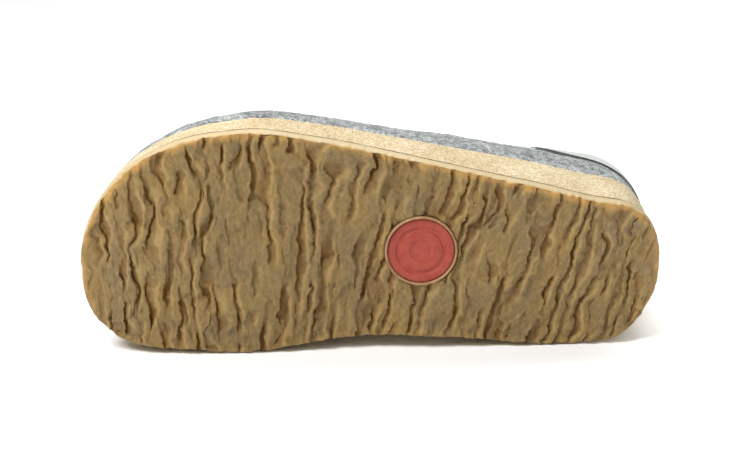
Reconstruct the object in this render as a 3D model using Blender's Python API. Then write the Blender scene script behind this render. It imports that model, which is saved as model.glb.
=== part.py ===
"""Felt slipper with a cork footbed and a bark-tread rubber sole.

The left shoe lies on its inner side, the edge of the sole and the felt both on the floor.
Shoe frame: x runs from the toe to the heel, y to the inner side, z up from the tread.
The last step turns that frame into the lying pose, which it works out from the shapes.
"""
import math
from collections import namedtuple

import bmesh
import bpy
import numpy as np
from mathutils import Matrix, Vector

# Driving sizes in metres
LENGTH = 0.270
BALL_WIDTH = 0.105
HEEL_WIDTH = 0.0714
TOE_SPRING = 0.010
ARCH_LIFT = 0.0025
HEEL_ROLL = 0.003
EDGE_HEIGHT = 0.0085
CORK_TOE_HEIGHT = 0.0125
CORK_HEEL_HEIGHT = 0.0330
CORK_FLARE = 0.0014
CORK_EASE = 0.0005
BED_TOE_DEPTH = 0.0030
BED_HEEL_DEPTH = 0.0120
INSOLE_THICKNESS = 0.0020
FELT_WALL = 0.0032
FELT_SETBACK = 0.0007
FELT_BULGE = 0.0008
TOE_CROWN = 0.054
INSTEP_CROWN = 0.099
ANKLE_CROWN = 0.130
COLLAR_SIDE = 0.067
COLLAR_BACK = 0.095
COUNTER_THICKNESS = 0.0012
PIPING_THICKNESS = 0.0016
PIPING_WIDTH = 0.0018
RIDGE_PITCH = 0.0084
GROOVE_DEPTH = 0.0025
PLATE_STEP = 0.0007
RIM_WIDTH = 0.0030
SIDE_BULGE = 0.0008
BADGE_RADIUS = 0.0153
BADGE_RING_WIDTH = 0.0014
BADGE_DEPTH = 0.0030
BADGE_RELIEF = 0.0006
BADGE_SET = 0.0002
BADGE_OFFSET = 0.010
BADGE_SIDES = 40
GAP = 0.0003

# Places along the shoe as shares of its length, measured from the toe
TOE_BREAK = 0.27
ARCH_START = 0.34
ARCH_END = 0.62
HEEL_BREAK = 0.86
TREAD_START = 0.035
TREAD_END = 0.972
THROAT = 0.50
ROUND_TOE = 0.20
ROUND_HEEL = 0.88
COUNTER_START = 0.80
BADGE_AT = 0.587
WAIST_START = 0.30
WAIST_END = 0.85
BOWL_START = 0.35
BOWL_END = 0.80
LEAN_START = 0.30
LEAN_END = 0.70
BORDER_FADE = 0.04
LEAN_FADE = 0.10
COLLAR_EASE = 0.12
PROBE = 0.002

# Half-widths to each side of the shoe's axis, as shares of the local width
Plan = namedtuple("Plan", "at medial lateral")
PLAN = (
    Plan(0.00, 0.358, 0.622),
    Plan(0.15, 0.358, 0.622),
    Plan(0.25, 0.369, 0.630),
    Plan(0.30, 0.370, 0.641),
    Plan(0.40, 0.342, 0.621),
    Plan(0.50, 0.342, 0.606),
    Plan(0.60, 0.380, 0.601),
    Plan(0.70, 0.450, 0.582),
    Plan(0.80, 0.518, 0.539),
    Plan(0.90, 0.514, 0.448),
    Plan(1.00, 0.514, 0.448),
)

# Round ends of the outline: how far each reaches along the shoe and how square it is
End = namedtuple("End", "reach power")
TOE_END = {"medial": End(0.15, 2.5), "lateral": End(0.25, 1.9)}
HEEL_END = {"medial": End(0.10, 1.9), "lateral": End(0.10, 2.3)}

# How the columns of the upper gather over the toe and over the heel
Gather = namedtuple("Gather", "reach pull")
TOE_GATHER = Gather(0.30, 0.075)
HEEL_GATHER = Gather(0.20, 0.12)
SPINE_SHARE = 0.75

# Section of the upper: how square it is, and its bulge as a share of the felt's bulge
Section = namedtuple("Section", "at power bulge")
SECTION = (
    Section(0.00, 2.2, 1.0),
    Section(0.12, 2.3, 1.2),
    Section(0.24, 2.5, 1.8),
    Section(0.36, 2.5, 1.7),
    Section(0.48, 2.2, 1.0),
    Section(1.00, 2.2, 1.0),
)
BULGE_REACH = 0.7

# Wall of the cork block: share of its overhang and of its height
Wall = namedtuple("Wall", "overhang height")
WALL = (Wall(0.0, 0.0), Wall(0.35, 0.25), Wall(0.8, 0.6), Wall(1.0, 0.95))
FLARE_AT_TOE = 0.2

# Height of the cork edge, from its toe height (0) to its heel height (1)
Cork = namedtuple("Cork", "at rise")
CORK = (
    Cork(0.00, 0.00),
    Cork(0.15, 0.03),
    Cork(0.26, 0.12),
    Cork(0.36, 0.28),
    Cork(0.46, 0.40),
    Cork(0.57, 0.57),
    Cork(0.70, 0.82),
    Cork(0.80, 0.98),
    Cork(0.90, 1.00),
    Cork(1.00, 0.97),
)

# Section of one bark ridge: share of its pitch, and tilt of its face (None on the groove's floor)
RIDGE = ((0.07, None), (0.18, -0.5), (0.82, 0.5), (0.93, None))
BREAK_SHARE = 0.8

# How a groove wanders along the ridge: share of the pitch, turns across the foot, turn per ridge
Wave = namedtuple("Wave", "size turns shift")
WAVE = Wave(0.05, 9.0, 1.3)

# Slant of the ridges, run along the shoe for each run across it, at the toe and what the heel adds
TOE_LEAN = 0.05
HEEL_LEAN = 0.27

# Where the two breaks of a ridge lie across the foot, and how that changes from ridge to ridge
Break = namedtuple("Break", "middle spread turn start")
BREAKS = (Break(0.33, 0.10, 2.4, 0.0), Break(0.69, 0.09, 1.7, 1.1))
BREAK_HALF = 0.034
BREAK_FLOOR = 0.014

# How the plates of a ridge differ in height: turn per ridge and per plate
PLATE_TURN = (1.9, 2.3)

# Edge of the rubber from the tread's border up: share of the side's bulge, share of its
# height, and how far its corners leave the slanting ridges to face each other across the shoe
EDGE = ((-1.6, 0.14, 0.0), (0.0, 0.32, 0.2), (1.0, 0.62, 0.6), (0.5, 1.0, 1.0))

# Bowl of the footbed: depth under the rim, and reach from the spine to the rim
Bed = namedtuple("Bed", "depth reach")
BED = (
    Bed(0.00, 1.00),
    Bed(0.30, 0.95),
    Bed(0.68, 0.86),
    Bed(0.92, 0.70),
    Bed(1.00, 0.42),
)

# Crown line of the upper: vamp from toe to instep, ankle from instep to above the collar
Crown = namedtuple("Crown", "at vamp ankle")
CROWN = (
    Crown(0.00, 0.00, 0.0),
    Crown(0.07, 0.00, 0.0),
    Crown(0.15, 0.12, 0.0),
    Crown(0.22, 0.22, 0.0),
    Crown(0.30, 0.37, 0.0),
    Crown(0.40, 0.69, 0.0),
    Crown(0.46, 0.90, 0.0),
    Crown(0.50, 1.00, 0.0),
    Crown(0.56, 1.00, 0.14),
    Crown(0.62, 1.00, 0.58),
    Crown(0.70, 1.00, 1.0),
    Crown(1.00, 1.00, 1.0),
)

# Collar line: throat is a share of the way from side height to instep crown, back likewise
Collar = namedtuple("Collar", "at throat back")
COLLAR = (
    Collar(0.50, 1.00, 0.0),
    Collar(0.52, 0.97, 0.0),
    Collar(0.56, 0.78, 0.0),
    Collar(0.60, 0.43, 0.0),
    Collar(0.66, 0.12, 0.0),
    Collar(0.72, 0.00, 0.06),
    Collar(0.76, 0.00, 0.11),
    Collar(0.84, 0.00, 0.36),
    Collar(0.92, 0.00, 0.77),
    Collar(1.00, 0.00, 1.0),
)

# Lower edge of the heel overlay, as a share of the wall from its seat to the collar
CounterLine = namedtuple("CounterLine", "at rise")
COUNTER_LINE = (
    CounterLine(0.80, 0.91),
    CounterLine(0.85, 0.83),
    CounterLine(0.90, 0.62),
    CounterLine(0.94, 0.40),
    CounterLine(0.97, 0.24),
    CounterLine(1.00, 0.09),
)


def read(table, column, at):
    """Read a column of a table at a share of the length, along a smooth curve."""
    places = np.array([row.at for row in table])
    values = np.array([getattr(row, column) for row in table])
    slopes = np.gradient(values, places)
    left = int(np.clip(np.searchsorted(places, at) - 1, 0, len(places) - 2))
    span = places[left + 1] - places[left]
    t = min(max((at - places[left]) / span, 0.0), 1.0)
    blend = t * t * (3.0 - 2.0 * t)
    ends = values[left] * (1.0 - blend) + values[left + 1] * blend
    start_turn = slopes[left] * span * t * (1.0 - t) ** 2
    end_turn = slopes[left + 1] * span * t * t * (1.0 - t)
    return float(ends + start_turn - end_turn)


def smooth_step(value, low, high):
    """Return 0 below low, 1 above high and an S-shaped blend between them."""
    t = min(max((value - low) / (high - low), 0.0), 1.0)
    return t * t * (3.0 - 2.0 * t)


def end_share(distance, end):
    """Share of the full half-width at a distance from a round end."""
    if distance >= end.reach:
        return 1.0
    short = 1.0 - max(distance, 0.0) / end.reach
    return (1.0 - short ** end.power) ** (1.0 / end.power)


def half_width(side, at):
    """Half-width of the tread outline on one side of the axis."""
    local = BALL_WIDTH + (HEEL_WIDTH - BALL_WIDTH) * smooth_step(at, WAIST_START, WAIST_END)
    toe = end_share(at, TOE_END[side])
    heel = end_share(1.0 - at, HEEL_END[side])
    return local * read(PLAN, side, at) * toe * heel


def outline(side, at, offset=0.0):
    """Point of the tread outline, moved outward by an offset along its normal."""
    sign = 1.0 if side == "medial" else -1.0
    if at <= 0.0:
        return np.array([-offset, 0.0])
    if at >= 1.0:
        return np.array([LENGTH + offset, 0.0])
    step = min(PROBE, 0.2 * at, 0.2 * (1.0 - at))
    before = half_width(side, at - step)
    after = half_width(side, at + step)
    along = np.array([2.0 * step * LENGTH, sign * (after - before)])
    normal = np.array([-along[1], along[0]]) * sign
    normal /= np.linalg.norm(normal)
    point = np.array([at * LENGTH, sign * half_width(side, at)])
    return point + normal * offset


def lift(at):
    """Height of the tread above the floor it would stand on."""
    toe = TOE_SPRING * max(0.0, 1.0 - at / TOE_BREAK) ** 2
    heel = HEEL_ROLL * max(0.0, (at - HEEL_BREAK) / (1.0 - HEEL_BREAK)) ** 2
    along_arch = (at - ARCH_START) / (ARCH_END - ARCH_START)
    arch = 0.0
    if 0.0 < along_arch < 1.0:
        arch = ARCH_LIFT * math.sin(math.pi * along_arch) ** 2
    return toe + arch + heel


def rubber_top(at):
    """Height of the rubber's flat upper side."""
    return lift(at) + EDGE_HEIGHT


def cork_edge(at):
    """Height of the cork's rim, where the felt sits."""
    height = CORK_TOE_HEIGHT + (CORK_HEEL_HEIGHT - CORK_TOE_HEIGHT) * read(CORK, "rise", at)
    return rubber_top(at) + GAP + height


def bed_depth(at):
    """Depth of the footbed's middle under the cork's rim."""
    return BED_TOE_DEPTH + (BED_HEEL_DEPTH - BED_TOE_DEPTH) * smooth_step(at, BOWL_START, BOWL_END)


def flare(at):
    """Overhang of the cork's rim past the tread's outline, which fades toward the toe."""
    toe = FLARE_AT_TOE
    return CORK_FLARE * (toe + (1.0 - toe) * smooth_step(at, 0.0, WAIST_START))


def felt_seat(at):
    """Height of the felt's lower edge."""
    return cork_edge(at) + GAP


def crown_height(at):
    """Height of the form's top line, which closes the vamp and stands over the collar."""
    vamp = TOE_CROWN + (INSTEP_CROWN - TOE_CROWN) * read(CROWN, "vamp", at)
    return vamp + (ANKLE_CROWN - INSTEP_CROWN) * read(CROWN, "ankle", at)


def collar_height(at):
    """Height of the collar's edge behind the throat."""
    throat = (INSTEP_CROWN - COLLAR_SIDE) * read(COLLAR, "throat", max(at, THROAT))
    back = (COLLAR_BACK - COLLAR_SIDE) * read(COLLAR, "back", max(at, THROAT))
    return COLLAR_SIDE + throat + back


def spine(at):
    """Point below the crown line that a column of the upper leans to."""
    toe_pull = TOE_GATHER.pull * max(0.0, 1.0 - at / TOE_GATHER.reach) ** 2
    heel_pull = HEEL_GATHER.pull * max(0.0, 1.0 - (1.0 - at) / HEEL_GATHER.reach) ** 2
    place = at + toe_pull - heel_pull
    middle = 0.5 * (half_width("medial", place) - half_width("lateral", place))
    return place, np.array([place * LENGTH, SPINE_SHARE * middle])


def upper_point(side, at, height, outward):
    """Point of the upper's outer form at a height, moved outward by an amount."""
    place, centre = spine(at)
    base = outline(side, at, flare(at) - FELT_SETBACK + outward)
    seat = felt_seat(at)
    top = crown_height(place) + outward
    rise = min(max((height - seat) / (top - seat), 0.0), 1.0)
    power = read(SECTION, "power", at)
    reach = (1.0 - rise ** power) ** (1.0 / power)
    out = outline(side, at, 1.0) - outline(side, at, 0.0)
    swell = math.sin(math.pi * min(1.0, rise / BULGE_REACH)) ** 2
    bulge = FELT_BULGE * read(SECTION, "bulge", at) * swell
    flat = centre + (base - centre) * reach + out * bulge
    return np.array([flat[0], flat[1], height])


def upper_top(at):
    """Height where a column of the upper ends: the crown line or the collar."""
    place = spine(at)[0]
    if at <= THROAT:
        return crown_height(place)
    return min(collar_height(at), crown_height(place))


def places_along(toe_steps, vamp_steps, quarter_steps, heel_steps):
    """Shares of the length for one side, closer together round the two ends."""
    toe_span = ROUND_TOE
    heel_span = 1.0 - ROUND_HEEL
    toe = [toe_span * (1.0 - math.cos(0.5 * math.pi * k / toe_steps)) for k in range(toe_steps)]
    vamp = list(np.linspace(ROUND_TOE, THROAT, vamp_steps + 1))
    quarter = [THROAT + (ROUND_HEEL - THROAT) * (k / quarter_steps) ** 1.5
               for k in range(quarter_steps + 1)]
    heel = [ROUND_HEEL + heel_span * math.sin(0.5 * math.pi * k / heel_steps)
            for k in range(1, heel_steps + 1)]
    return toe + vamp + quarter[1:] + heel


def columns_around(places):
    """Columns round the shoe: toe, lateral side, heel, then back along the medial side."""
    there = [("lateral", at) for at in places]
    back = [("medial", at) for at in reversed(places[1:-1])]
    return there + back


def material(name, colour, roughness):
    """Principled material with a colour and a roughness."""
    made = bpy.data.materials.new(name)
    made.use_nodes = True
    shader = made.node_tree.nodes["Principled BSDF"]
    shader.inputs["Base Color"].default_value = (*colour, 1.0)
    shader.inputs["Roughness"].default_value = roughness
    shader.inputs["Metallic"].default_value = 0.0
    return made


def build(name, points, faces, finish, sharp_degrees=40.0):
    """Make one object from points and faces, with its faces pointing out."""
    mesh = bpy.data.meshes.new(name)
    work = bmesh.new()
    corners = [work.verts.new(Vector(point)) for point in points]
    for face in faces:
        loop = []
        for index in face:
            if corners[index] not in loop:
                loop.append(corners[index])
        if len(loop) > 2:
            work.faces.new(loop)
    bmesh.ops.remove_doubles(work, verts=work.verts[:], dist=0.00001)
    bmesh.ops.recalc_face_normals(work, faces=work.faces[:])
    work.to_mesh(mesh)
    work.free()
    mesh.shade_smooth()
    mesh.set_sharp_from_angle(angle=math.radians(sharp_degrees))
    mesh.materials.append(finish)
    shape = bpy.data.objects.new(name, mesh)
    bpy.context.scene.collection.objects.link(shape)
    return shape


def ring_faces(rows, count):
    """Quads between rings of points that are stored one after another."""
    faces = []
    for row in range(rows - 1):
        for k in range(count):
            nxt = (k + 1) % count
            low = row * count
            high = low + count
            faces.append((low + k, low + nxt, high + nxt, high + k))
    return faces


def lid_faces(start, count, flip=False):
    """Strip of faces that closes a ring of columns, from side to side."""
    faces = []
    for k in range(count // 2):
        other = count - k
        quad = (start + k, start + k + 1, start + other - 1, start + other % count)
        faces.append(tuple(reversed(quad)) if flip else quad)
    return faces


def ring(places, overhang, inset, height, toward_spine=1.0):
    """Ring of points at a share of the cork's overhang, less an inset, and at a height."""
    points = []
    for side, at in columns_around(places):
        flat = outline(side, at, overhang * flare(at) - inset)
        centre = spine(at)[1]
        flat = centre + (flat - centre) * toward_spine
        share = flat[0] / LENGTH
        points.append((flat[0], flat[1], height(min(max(share, 0.0), 1.0))))
    return points


def make_midsole():
    """Cork block: flat below, flared wall, rim under the felt and a cupped bed."""
    places = places_along(7, 8, 9, 6)
    land = FELT_SETBACK + FELT_WALL + GAP

    def wall(share):
        return lambda at: rubber_top(at) + GAP + share * (cork_edge(at) - rubber_top(at) - GAP)

    def bed(share):
        return lambda at: cork_edge(at) - share * bed_depth(at)

    rings = [ring(places, row.overhang, 0.0, wall(row.height)) for row in WALL]
    rings.append(ring(places, 1.0, CORK_EASE, wall(1.0)))
    rings += [ring(places, 1.0, land, bed(row.depth), row.reach) for row in BED]
    count = len(rings[0])
    points = [point for row in rings for point in row]
    faces = ring_faces(len(rings), count)
    faces += lid_faces(0, count, flip=True)
    faces += lid_faces((len(rings) - 1) * count, count)
    return build("midsole", points, faces, material("cork", (0.80, 0.66, 0.43), 0.85))


def make_insole():
    """Lining sheet on the footbed, inside the felt."""
    places = places_along(7, 8, 9, 6)
    land = FELT_SETBACK + FELT_WALL + GAP

    def sheet(share, above):
        return lambda at: cork_edge(at) - share * bed_depth(at) + above

    low = [ring(places, 1.0, land, sheet(row.depth, GAP), row.reach) for row in BED[1:]]
    thick = GAP + INSOLE_THICKNESS
    high = [ring(places, 1.0, land, sheet(row.depth, thick), row.reach) for row in BED[1:]]
    rings = list(reversed(low)) + high
    count = len(rings[0])
    points = [point for row in rings for point in row]
    faces = ring_faces(len(rings), count)
    faces += lid_faces(0, count, flip=True)
    faces += lid_faces((len(rings) - 1) * count, count)
    return build("insole", points, faces, material("lining", (0.42, 0.40, 0.36), 0.9))


def upper_rows(places, outward, rows):
    """Rows of the upper from its seat to the crown line or the collar."""
    made = []
    for row in range(rows + 1):
        share = math.sin(0.5 * math.pi * row / rows)
        line = []
        for side, at in columns_around(places):
            seat = felt_seat(at)
            top = upper_top(at)
            if at <= THROAT:
                top += outward
                rise = share
            else:
                eased = max(0.0, 1.0 - (at - THROAT) / COLLAR_EASE)
                rise = row / rows + (share - row / rows) * eased
            line.append(upper_point(side, at, seat + (top - seat) * rise, outward))
        made.append(line)
    return made


def make_upper():
    """Hollow felt form: one wall with a closed toe and vamp, open collar and open bottom."""
    places = places_along(7, 10, 14, 6)
    rows = 9
    outer = upper_rows(places, 0.0, rows)
    inner = upper_rows(places, -FELT_WALL, rows)
    count = len(outer[0])
    points = [point for row in outer + inner for point in row]
    faces = ring_faces(rows + 1, count)
    start = (rows + 1) * count
    faces += [tuple(start + index for index in reversed(face)) for face in ring_faces(rows + 1, count)]
    columns = columns_around(places)
    top = rows * count
    for k in range(count):
        nxt = (k + 1) % count
        faces.append((start + k, start + nxt, nxt, k))
        if max(columns[k][1], columns[nxt][1]) > THROAT + 1e-6:
            faces.append((top + k, top + nxt, start + top + nxt, start + top + k))
    return build("upper", points, faces, material("felt", (0.42, 0.43, 0.42), 0.95), 60.0)


def patch(name, places, low, high, rows, inside, outside, finish):
    """Overlay round the heel, cut from the upper's form between two heights."""
    columns = [("lateral", at) for at in places]
    columns += [("medial", at) for at in reversed(places[:-1])]
    points = []
    for outward in (inside, outside):
        for side, at in columns:
            for row in range(rows + 1):
                height = low(at) + (high(at) - low(at)) * row / rows
                points.append(upper_point(side, at, height, outward))
    count = len(columns)
    step = rows + 1
    layer = count * step
    faces = []
    for k in range(count - 1):
        for row in range(rows):
            a = k * step + row
            b = (k + 1) * step + row
            faces.append((a, a + 1, b + 1, b))
            faces.append((layer + b, layer + b + 1, layer + a + 1, layer + a))
        for row in (0, rows):
            a = k * step + row
            b = (k + 1) * step + row
            faces.append((a, b, layer + b, layer + a))
    for k in (0, count - 1):
        for row in range(rows):
            a = k * step + row
            faces.append((a, a + 1, layer + a + 1, layer + a))
    return build(name, points, faces, finish)


def counter_line(at):
    """Height of the slanting line on the heel."""
    seat = felt_seat(at)
    return seat + (collar_height(at) - seat) * read(COUNTER_LINE, "rise", at)


def heel_places():
    """Shares of the length from the front of the overlay to the heel's end."""
    return [at for at in places_along(7, 10, 14, 6) if at >= COUNTER_START]


def make_counter():
    """Pale overlay above the slanting line."""
    finish = material("pale_felt", (0.60, 0.63, 0.58), 0.8)

    def low(at):
        return counter_line(at) + 0.5 * PIPING_WIDTH + GAP

    return patch("heel_counter", heel_places(), low, collar_height, 4,
                 GAP, GAP + COUNTER_THICKNESS, finish)


def make_piping():
    """Dark edging that runs along the slanting line."""
    finish = material("piping", (0.10, 0.10, 0.09), 0.7)

    def low(at):
        return counter_line(at) - 0.5 * PIPING_WIDTH

    def high(at):
        return counter_line(at) + 0.5 * PIPING_WIDTH

    return patch("counter_piping", heel_places(), low, high, 1, GAP, GAP + PIPING_THICKNESS, finish)


def tread_columns():
    """Number of bark ridges between the two smooth ends."""
    return int(round((TREAD_END - TREAD_START) * LENGTH / RIDGE_PITCH))


def ridge_lean(at):
    """Slant of the ridges: straight across the forefoot, leaning toward the heel."""
    fade = min(1.0, (at - TREAD_START) / LEAN_FADE, (TREAD_END - at) / LEAN_FADE)
    return max(0.0, fade) * (TOE_LEAN + HEEL_LEAN * smooth_step(at, LEAN_START, LEAN_END))


def breaks(column):
    """Two places across the foot where a ridge is broken into plates."""
    return [row.middle + row.spread * math.sin(row.turn * column + row.start) for row in BREAKS]


def across(column):
    """Shares across the tread for one column, with a flag for the floor of a break."""
    first, second = breaks(column)
    half = BREAK_HALF
    floor = BREAK_FLOOR
    shares = [(0.0, 0), (0.5 * (first - half), 0)]
    for place in (first, second):
        shares += [(place - half, 0), (place - floor, 1), (place + floor, 1), (place + half, 0)]
        if place == first:
            shares.append((0.5 * (first + second), 0))
    shares += [(0.5 * (second + half + 1.0), 0), (1.0, 0)]
    return shares


def plate_drop(column, share, tilt):
    """How far a plate's face lies above the lowest tread plane."""
    first, second = breaks(column)
    plate = 0 if share < first else 1 if share < second else 2
    wave = math.sin(PLATE_TURN[0] * column + PLATE_TURN[1] * plate)
    if wave < 0.0:
        return 0.0
    return PLATE_STEP * wave * (0.5 + tilt)


def tread_point(at, t):
    """Point of the tread between the lateral rim (0) and the medial rim (1)."""
    lateral = outline("lateral", at, -RIM_WIDTH)
    medial = outline("medial", at, -RIM_WIDTH)
    return lateral + (medial - lateral) * t


def tread_place(base, t, groove):
    """Share of the length where the line beside a groove crosses the tread."""
    width = half_width("lateral", base) + half_width("medial", base)
    slant = ridge_lean(base) * (0.5 - t) * width / LENGTH
    wave = WAVE.size * RIDGE_PITCH / LENGTH * math.sin(WAVE.turns * t + WAVE.shift * groove)
    fade = min(1.0, (base - TREAD_START) / BORDER_FADE, (TREAD_END - base) / BORDER_FADE)
    return base + slant + wave * max(0.0, fade)


def tread_rows():
    """Rows of tread points, four for each ridge: two at its foot and two on its face."""
    count = tread_columns()
    rows = []
    places = []
    for column in range(count):
        for share_in, tilt in RIDGE:
            row = []
            line = []
            for t, break_floor in across(column):
                base = TREAD_START + (TREAD_END - TREAD_START) * (column + share_in) / count
                at = tread_place(base, t, column + round(share_in))
                flat = tread_point(at, t)
                height = lift(flat[0] / LENGTH)
                if tilt is None:
                    height += GROOVE_DEPTH
                elif break_floor:
                    height += BREAK_SHARE * GROOVE_DEPTH
                else:
                    height += plate_drop(column, t, tilt)
                row.append((flat[0], flat[1], height))
                line.append(at)
            rows.append(row)
            places.append(line)
    return rows, places


def rim_columns(places, wide):
    """Side and place of each point of the tread's border, from the toe round to the toe."""
    half = wide // 2
    first = places[0]
    last = places[-1]
    loop = []
    for j in range(half, -1, -1):
        loop.append((0, j, "lateral", first[0] * (1.0 - j / half) ** 2))
    for row in range(1, len(places) - 1):
        loop.append((row, 0, "lateral", places[row][0]))
    for j in range(half + 1):
        loop.append((len(places) - 1, j, "lateral", 1.0 - (1.0 - last[0]) * (1.0 - j / half) ** 2))
    for j in range(half + 1, wide):
        loop.append((len(places) - 1, j, "medial", 1.0 - (1.0 - last[-1]) * (j / half - 1.0) ** 2))
    for row in range(len(places) - 2, 0, -1):
        loop.append((row, wide - 1, "medial", places[row][-1]))
    for j in range(wide - 1, half, -1):
        loop.append((0, j, "medial", first[-1] * (j / half - 1.0) ** 2))
    return loop


def make_outsole():
    """Rubber plate with bark ridges, smooth ends, a rounded rim and a badge pocket."""
    rows, places = tread_rows()
    wide = len(rows[0])
    points = [point for row in rows for point in row]
    faces = []
    for k in range(len(rows) - 1):
        for j in range(wide - 1):
            a = k * wide + j
            faces.append((a, a + 1, a + wide + 1, a + wide))
    loop = rim_columns(places, wide)
    count = len(loop)
    previous = [row * wide + j for row, j, side, at in loop]
    for offset, above, straight in EDGE:
        start = len(points)
        for k, (row, j, side, at) in enumerate(loop):
            facing = loop[-k][3]
            flat = outline(side, at + 0.5 * straight * (facing - at), offset * SIDE_BULGE)
            share = min(max(flat[0] / LENGTH, 0.0), 1.0)
            points.append((flat[0], flat[1], lift(share) + above * EDGE_HEIGHT))
        current = list(range(start, start + count))
        for k in range(count):
            nxt = (k + 1) % count
            faces.append((previous[k], previous[nxt], current[nxt], current[k]))
        previous = current
    faces += lid_faces(previous[0], count)
    sole = build("outsole", points, faces, material("rubber", (0.30, 0.19, 0.07), 0.55), 30.0)
    pocket = turned("badge_pocket", (
        (0.0, -PLATE_STEP),
        (pocket_radius(), -PLATE_STEP),
        (pocket_radius(), BADGE_DEPTH + GAP),
        (0.0, BADGE_DEPTH + GAP),
    ), None)
    pocket.hide_render = True
    pocket.display_type = "WIRE"
    cut = sole.modifiers.new("pocket", "BOOLEAN")
    cut.operation = "DIFFERENCE"
    cut.object = pocket
    return sole, pocket


def pocket_radius():
    """Radius of the pocket that holds the badge and its ring."""
    return BADGE_RADIUS + GAP + BADGE_RING_WIDTH + GAP


def turned(name, profile, finish):
    """Round piece under the arch, from a profile of radius and height above the tread."""
    middle = Vector((BADGE_AT * LENGTH, -BADGE_OFFSET, lift(BADGE_AT)))
    points = []
    for k in range(BADGE_SIDES):
        angle = 2.0 * math.pi * k / BADGE_SIDES
        for radius, height in profile:
            spoke = Vector((radius * math.cos(angle), radius * math.sin(angle), height))
            points.append(middle + spoke)
    size = len(profile)
    faces = []
    for k in range(BADGE_SIDES):
        nxt = (k + 1) % BADGE_SIDES
        for j in range(size):
            follow = (j + 1) % size
            if profile[j][0] == 0.0 and profile[follow][0] == 0.0:
                continue
            faces.append((k * size + j, k * size + follow, nxt * size + follow, nxt * size + j))
    if finish is None:
        finish = material("cutter", (0.5, 0.5, 0.5), 0.5)
    return build(name, points, faces, finish)


def make_badge():
    """Red disc with a plain concentric relief, in a thin raised ring."""
    face = BADGE_RELIEF + BADGE_SET
    radius = BADGE_RADIUS
    disc = turned("badge_disc", (
        (0.0, BADGE_DEPTH),
        (radius, BADGE_DEPTH),
        (radius, face),
        (0.76 * radius, face),
        (0.72 * radius, face - BADGE_RELIEF),
        (0.64 * radius, face - BADGE_RELIEF),
        (0.60 * radius, face),
        (0.34 * radius, face),
        (0.28 * radius, face - BADGE_RELIEF),
        (0.0, face - BADGE_RELIEF),
    ), material("badge_red", (0.43, 0.09, 0.06), 0.5))
    inner = BADGE_RADIUS + GAP
    outer = inner + BADGE_RING_WIDTH
    rim = turned("badge_ring", (
        (inner, BADGE_DEPTH),
        (outer, BADGE_DEPTH),
        (outer, 0.25 * BADGE_RING_WIDTH),
        (inner + 0.65 * BADGE_RING_WIDTH, 0.0),
        (inner + 0.35 * BADGE_RING_WIDTH, 0.0),
        (inner, 0.25 * BADGE_RING_WIDTH),
    ), material("badge_tan", (0.45, 0.26, 0.14), 0.5))
    return disc, rim


def corner_array(shapes):
    """Corners of some objects in the shoe's own frame."""
    return np.array([tuple(corner.co) for shape in shapes for corner in shape.data.vertices])


def drop(points, lean, turn):
    """Heights over the floor before the shoe is set down, for a lean and a turn."""
    inner = points[:, 0] * math.sin(turn) + points[:, 1] * math.cos(turn)
    return -inner * math.cos(lean) - points[:, 2] * math.sin(lean)


def halve(difference, low, high):
    """Place between two bounds where a rising difference is zero."""
    for _ in range(40):
        middle = 0.5 * (low + high)
        if difference(middle) > 0.0:
            high = middle
        else:
            low = middle
    return 0.5 * (low + high)


def lying_pose(sole, felt):
    """Matrix that lays the shoe on its inner side: ball, heel and felt on the floor."""
    front = sole[sole[:, 0] < 0.5 * LENGTH]
    back = sole[sole[:, 0] >= 0.5 * LENGTH]
    lean = 0.0
    turn = 0.0
    for _ in range(8):
        turn = halve(lambda t: drop(front, lean, t).min() - drop(back, lean, t).min(), -0.2, 0.2)
        lean = halve(lambda a: drop(felt, a, turn).min() * -1.0 + drop(sole, a, turn).min(), -0.3, 0.5)
    spin = Matrix.Rotation(-0.5 * math.pi - lean, 4, "X") @ Matrix.Rotation(turn, 4, "Z")
    return spin, math.degrees(lean), math.degrees(turn)


def main():
    """Build every piece in the shoe's frame and lay the shoe down."""
    for shape in list(bpy.data.objects):
        bpy.data.objects.remove(shape, do_unlink=True)
    outsole, pocket = make_outsole()
    disc, rim = make_badge()
    midsole = make_midsole()
    insole = make_insole()
    upper = make_upper()
    counter = make_counter()
    piping = make_piping()
    solids = [outsole, disc, rim, midsole, insole, upper, counter, piping]
    sole_points = corner_array([outsole, midsole])
    felt_points = corner_array([upper, counter, piping])
    spin, lean, turn = lying_pose(sole_points, felt_points)
    print("lean and turn in degrees:", round(lean, 3), round(turn, 3))
    turned_points = [spin @ Vector(point) for point in corner_array(solids)]
    low = Vector([min(point[k] for point in turned_points) for k in range(3)])
    high = Vector([max(point[k] for point in turned_points) for k in range(3)])
    stand = bpy.data.objects.new("lying_shoe", None)
    bpy.context.scene.collection.objects.link(stand)
    middle = 0.5 * (low + high)
    stand.matrix_world = Matrix.Translation((-middle.x, -middle.y, -low.z)) @ spin
    for shape in solids + [pocket]:
        shape.parent = stand
    bpy.context.view_layer.update()


main()
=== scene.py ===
# %% [markdown]
# # A felt slipper lying on its side
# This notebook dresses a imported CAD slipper. The CAD gives the true sizes: a rubber sole,
# a cork footbed and a hollow felt upper. Here each piece gets the surface that the real one
# has: bark on the rubber, granules in the cork, heathered wool in the felt.

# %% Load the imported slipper
import math

import bpy
import numpy as np
from mathutils import Matrix, Vector
from mathutils.bvhtree import BVHTree


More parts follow.
